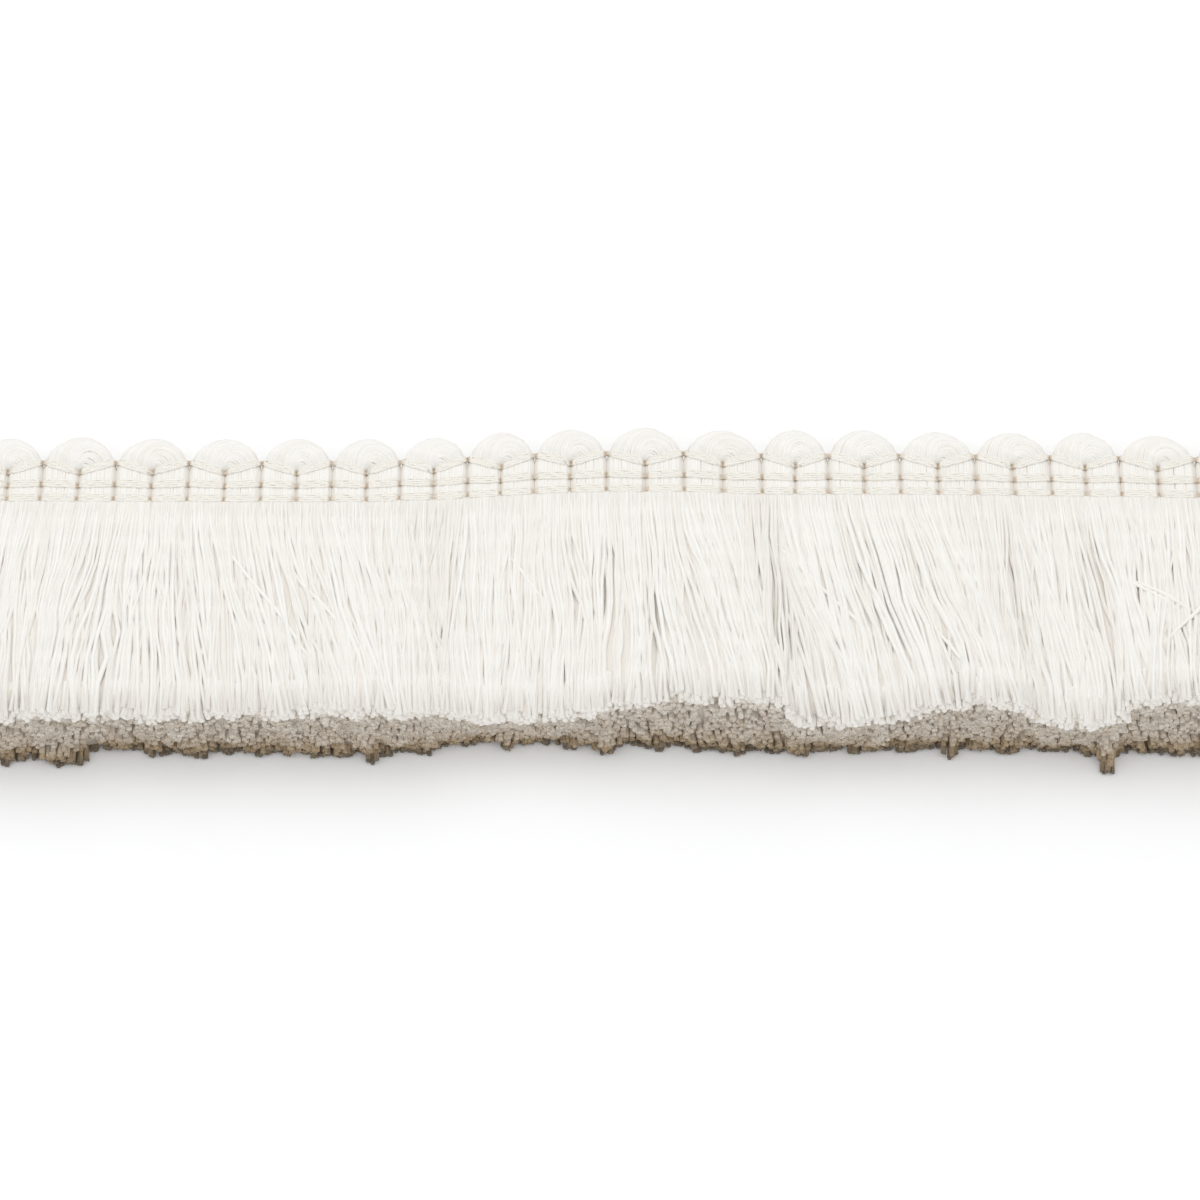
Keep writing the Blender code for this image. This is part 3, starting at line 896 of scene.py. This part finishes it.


# Ecru binding thread: its own tones, and two colours of painted shade where it sinks into the slits.
binding_yarn = yarn_finish(
    "binding_yarn",
    dark=(0.90, 0.86, 0.78),
    light=(0.955, 0.93, 0.875),
    painted_shade_colour=(0.53, 0.395, 0.26),
    deepest_painted_shade_colour=(0.3, 0.2, 0.12),
    roughness=0.65,
)
thread_nodes = thread_tree(binding_yarn)
for row in BINDINGS:
    curve = bpy.data.curves.new(row.name + "_guide", "CURVE")
    curve.dimensions = "3D"
    for face in (True, False):
        route = thread_route(row)
        spline = curve.splines.new("NURBS")
        spline.points.add(len(route) - 1)
        spline.use_endpoint_u = True
        spline.order_u = 4
        for point, (x, y, dip) in zip(spline.points, route):
            point.co = (x, y, THREAD_OVER - dip if face else THREAD_BEHIND + dip, 1)
    host = bpy.data.objects.new(row.name + "_guide", curve)
    bpy.context.scene.collection.objects.link(host)
    modifier = host.modifiers.new("binding thread", "NODES")
    modifier.node_group = thread_nodes
    piece = made_real(host, row.name.replace("thread", "plies"))
    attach(piece, "root")
    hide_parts(row.name)

# Stray ends.
# A few single ends of the brush's yarn have slipped out of their places and lie across the others on its
# face, each still held by its root.

STRAY_STEP = 0.0008
STRAY_SUNK = 0.0006

# Each stray end's route over the face of the brush, from above, and how far it lifts off the face.
Stray = namedtuple("Stray", "from_x from_y to_x to_y lift")
STRAYS = [
    Stray(-0.0425, -0.0060, -0.0300, -0.0290, 0.0),
    Stray(-0.0345, -0.0120, -0.0275, -0.0235, 0.00002),
    Stray(-0.0128, -0.0080, -0.0070, -0.0200, 0.0),
    Stray(0.0155, -0.0090, 0.0268, -0.0252, 0.00003),
    Stray(0.0255, -0.0120, 0.0354, -0.0300, 0.0),
    Stray(0.0440, -0.0095, 0.0567, -0.0210, 0.00006),
    Stray(0.0620, -0.0150, 0.0536, -0.0248, 0.00012),
    Stray(0.0510, -0.0150, 0.0576, -0.0206, 0.00006),
]


def stray_tree(material):
    """The geometry tree that lays guides of x, y and lift on the face of the brush, as yarns."""
    tree = Tree(bpy.data.node_groups.new("stray ends", "GeometryNodeTree"))
    tree.nodes.interface.new_socket("Geometry", in_out="INPUT", socket_type="NodeSocketGeometry")
    given = tree.nodes.nodes.new("NodeGroupInput")
    inputs = {"Curve": Wire(tree, given.outputs[0]), "Length": STRAY_STEP}
    guides = tree.node("GeometryNodeResampleCurve", {"mode": "LENGTH"}, inputs)
    x, y, lift = tree.parts(tree.node("GeometryNodeInputPosition"))
    height = tree.along_trim(x, CUTS, "height")
    reach = tree.along_trim(x, CUTS, "face_reach")
    along = ((HEADING_FOOT - y) / (reach + HEADING_FOOT)).math("MAXIMUM", 0.0).math("MINIMUM", 1.0)
    fanned = 1 - (1 - along) ** FAN_CURVE
    thickness = HEADING_THICKNESS + (height - HEADING_THICKNESS) * fanned
    waver = tree.noise(x * 300, y * 300, 0.0) * 0.0002
    places = tree.xyz(x + waver, y, thickness + lift)
    yarns = spun(tree, guides, places, END_RADIUS * 0.8, waver * 2000, 0.0, 6)
    tree.finished(yarns, material)
    return tree.nodes


curve = bpy.data.curves.new("stray_guides", "CURVE")
curve.dimensions = "3D"
for stray in STRAYS:
    spline = curve.splines.new("NURBS")
    spline.points.add(3)
    spline.use_endpoint_u = True
    spline.order_u = 4
    x_way, y_way = stray.to_x - stray.from_x, stray.to_y - stray.from_y
    stations = (
        (0.0, 0.0, -STRAY_SUNK),
        (0.3, -0.03, stray.lift),
        (0.7, 0.04, stray.lift),
        (1.0, 0.0, stray.lift - STRAY_SUNK),
    )
    for point, (along, aside, lift) in zip(spline.points, stations):
        x = stray.from_x + along * x_way - aside * y_way
        y = stray.from_y + along * y_way + aside * x_way
        point.co = (x, y, lift, 1)
host = bpy.data.objects.new("stray_guides", curve)
bpy.context.scene.collection.objects.link(host)
host.modifiers.new("stray ends", "NODES").node_group = stray_tree(weft_yarn)
piece = made_real(host, "stray_ends")
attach(piece, "root")

# Floor, light and camera.
# The trim lies on its back on a white floor. A wide soft light stands above it and a little behind, so
# its cut end is in soft shade, and the camera looks down on it from the front.

FLOOR_HALF = 2.0
FLOOR_LEVEL = -0.00005

corners = [(-FLOOR_HALF, -FLOOR_HALF), (FLOOR_HALF, -FLOOR_HALF)]
corners += [(FLOOR_HALF, FLOOR_HALF), (-FLOOR_HALF, FLOOR_HALF)]
floor_mesh = bpy.data.meshes.new("floor")
floor_mesh.from_pydata([(x, y, FLOOR_LEVEL) for x, y in corners], [], [(0, 1, 2, 3)])
floor = bpy.data.objects.new("floor", floor_mesh)
bpy.context.scene.collection.objects.link(floor)
paper = bpy.data.materials.new("white_floor")
paper.use_nodes = True
for socket, value in (("Base Color", (0.97, 0.97, 0.97, 1.0)), ("Roughness", 0.9), ("Specular IOR Level", 0.1)):
    paper.node_tree.nodes["Principled BSDF"].inputs[socket].default_value = value
floor_mesh.materials.append(paper)

world = bpy.data.worlds.new("studio")
world.use_nodes = True
world.node_tree.nodes["Background"].inputs["Color"].default_value = (0.985, 0.992, 1.0, 1.0)
world.node_tree.nodes["Background"].inputs["Strength"].default_value = 0.95
bpy.context.scene.world = world


def soft_light(name, place, aim, size, power):
    """A square soft light at a place, turned to its aim."""
    light = bpy.data.lights.new(name, "AREA")
    light.shape = "SQUARE"
    light.size = size
    light.energy = power
    lamp = bpy.data.objects.new(name, light)
    lamp.location = place
    lamp.rotation_euler = (Vector(aim) - Vector(place)).to_track_quat("-Z", "Y").to_euler()
    bpy.context.scene.collection.objects.link(lamp)


soft_light("key_light", (-0.15, 0.50, 0.75), (0.0, -0.01, 0.0), 0.7, 1.6)

ELEVATION = math.radians(55.0)
LENS = 135.0
SENSOR = 36.0
AIM = Vector((-0.0023, -0.0135, 0.0))
WIDTH_AT_AIM = 0.1231

camera = bpy.data.cameras.new("camera")
camera.lens = LENS
camera.sensor_width = SENSOR
camera.clip_start = 0.01
eye = bpy.data.objects.new("camera", camera)
distance = WIDTH_AT_AIM * LENS / SENSOR
eye.location = AIM + distance * Vector((0.0, -math.cos(ELEVATION), math.sin(ELEVATION)))
eye.rotation_euler = (math.pi / 2 - ELEVATION, 0.0, 0.0)
bpy.context.scene.collection.objects.link(eye)
bpy.context.scene.camera = eye
bpy.context.scene.view_settings.view_transform = "Standard"
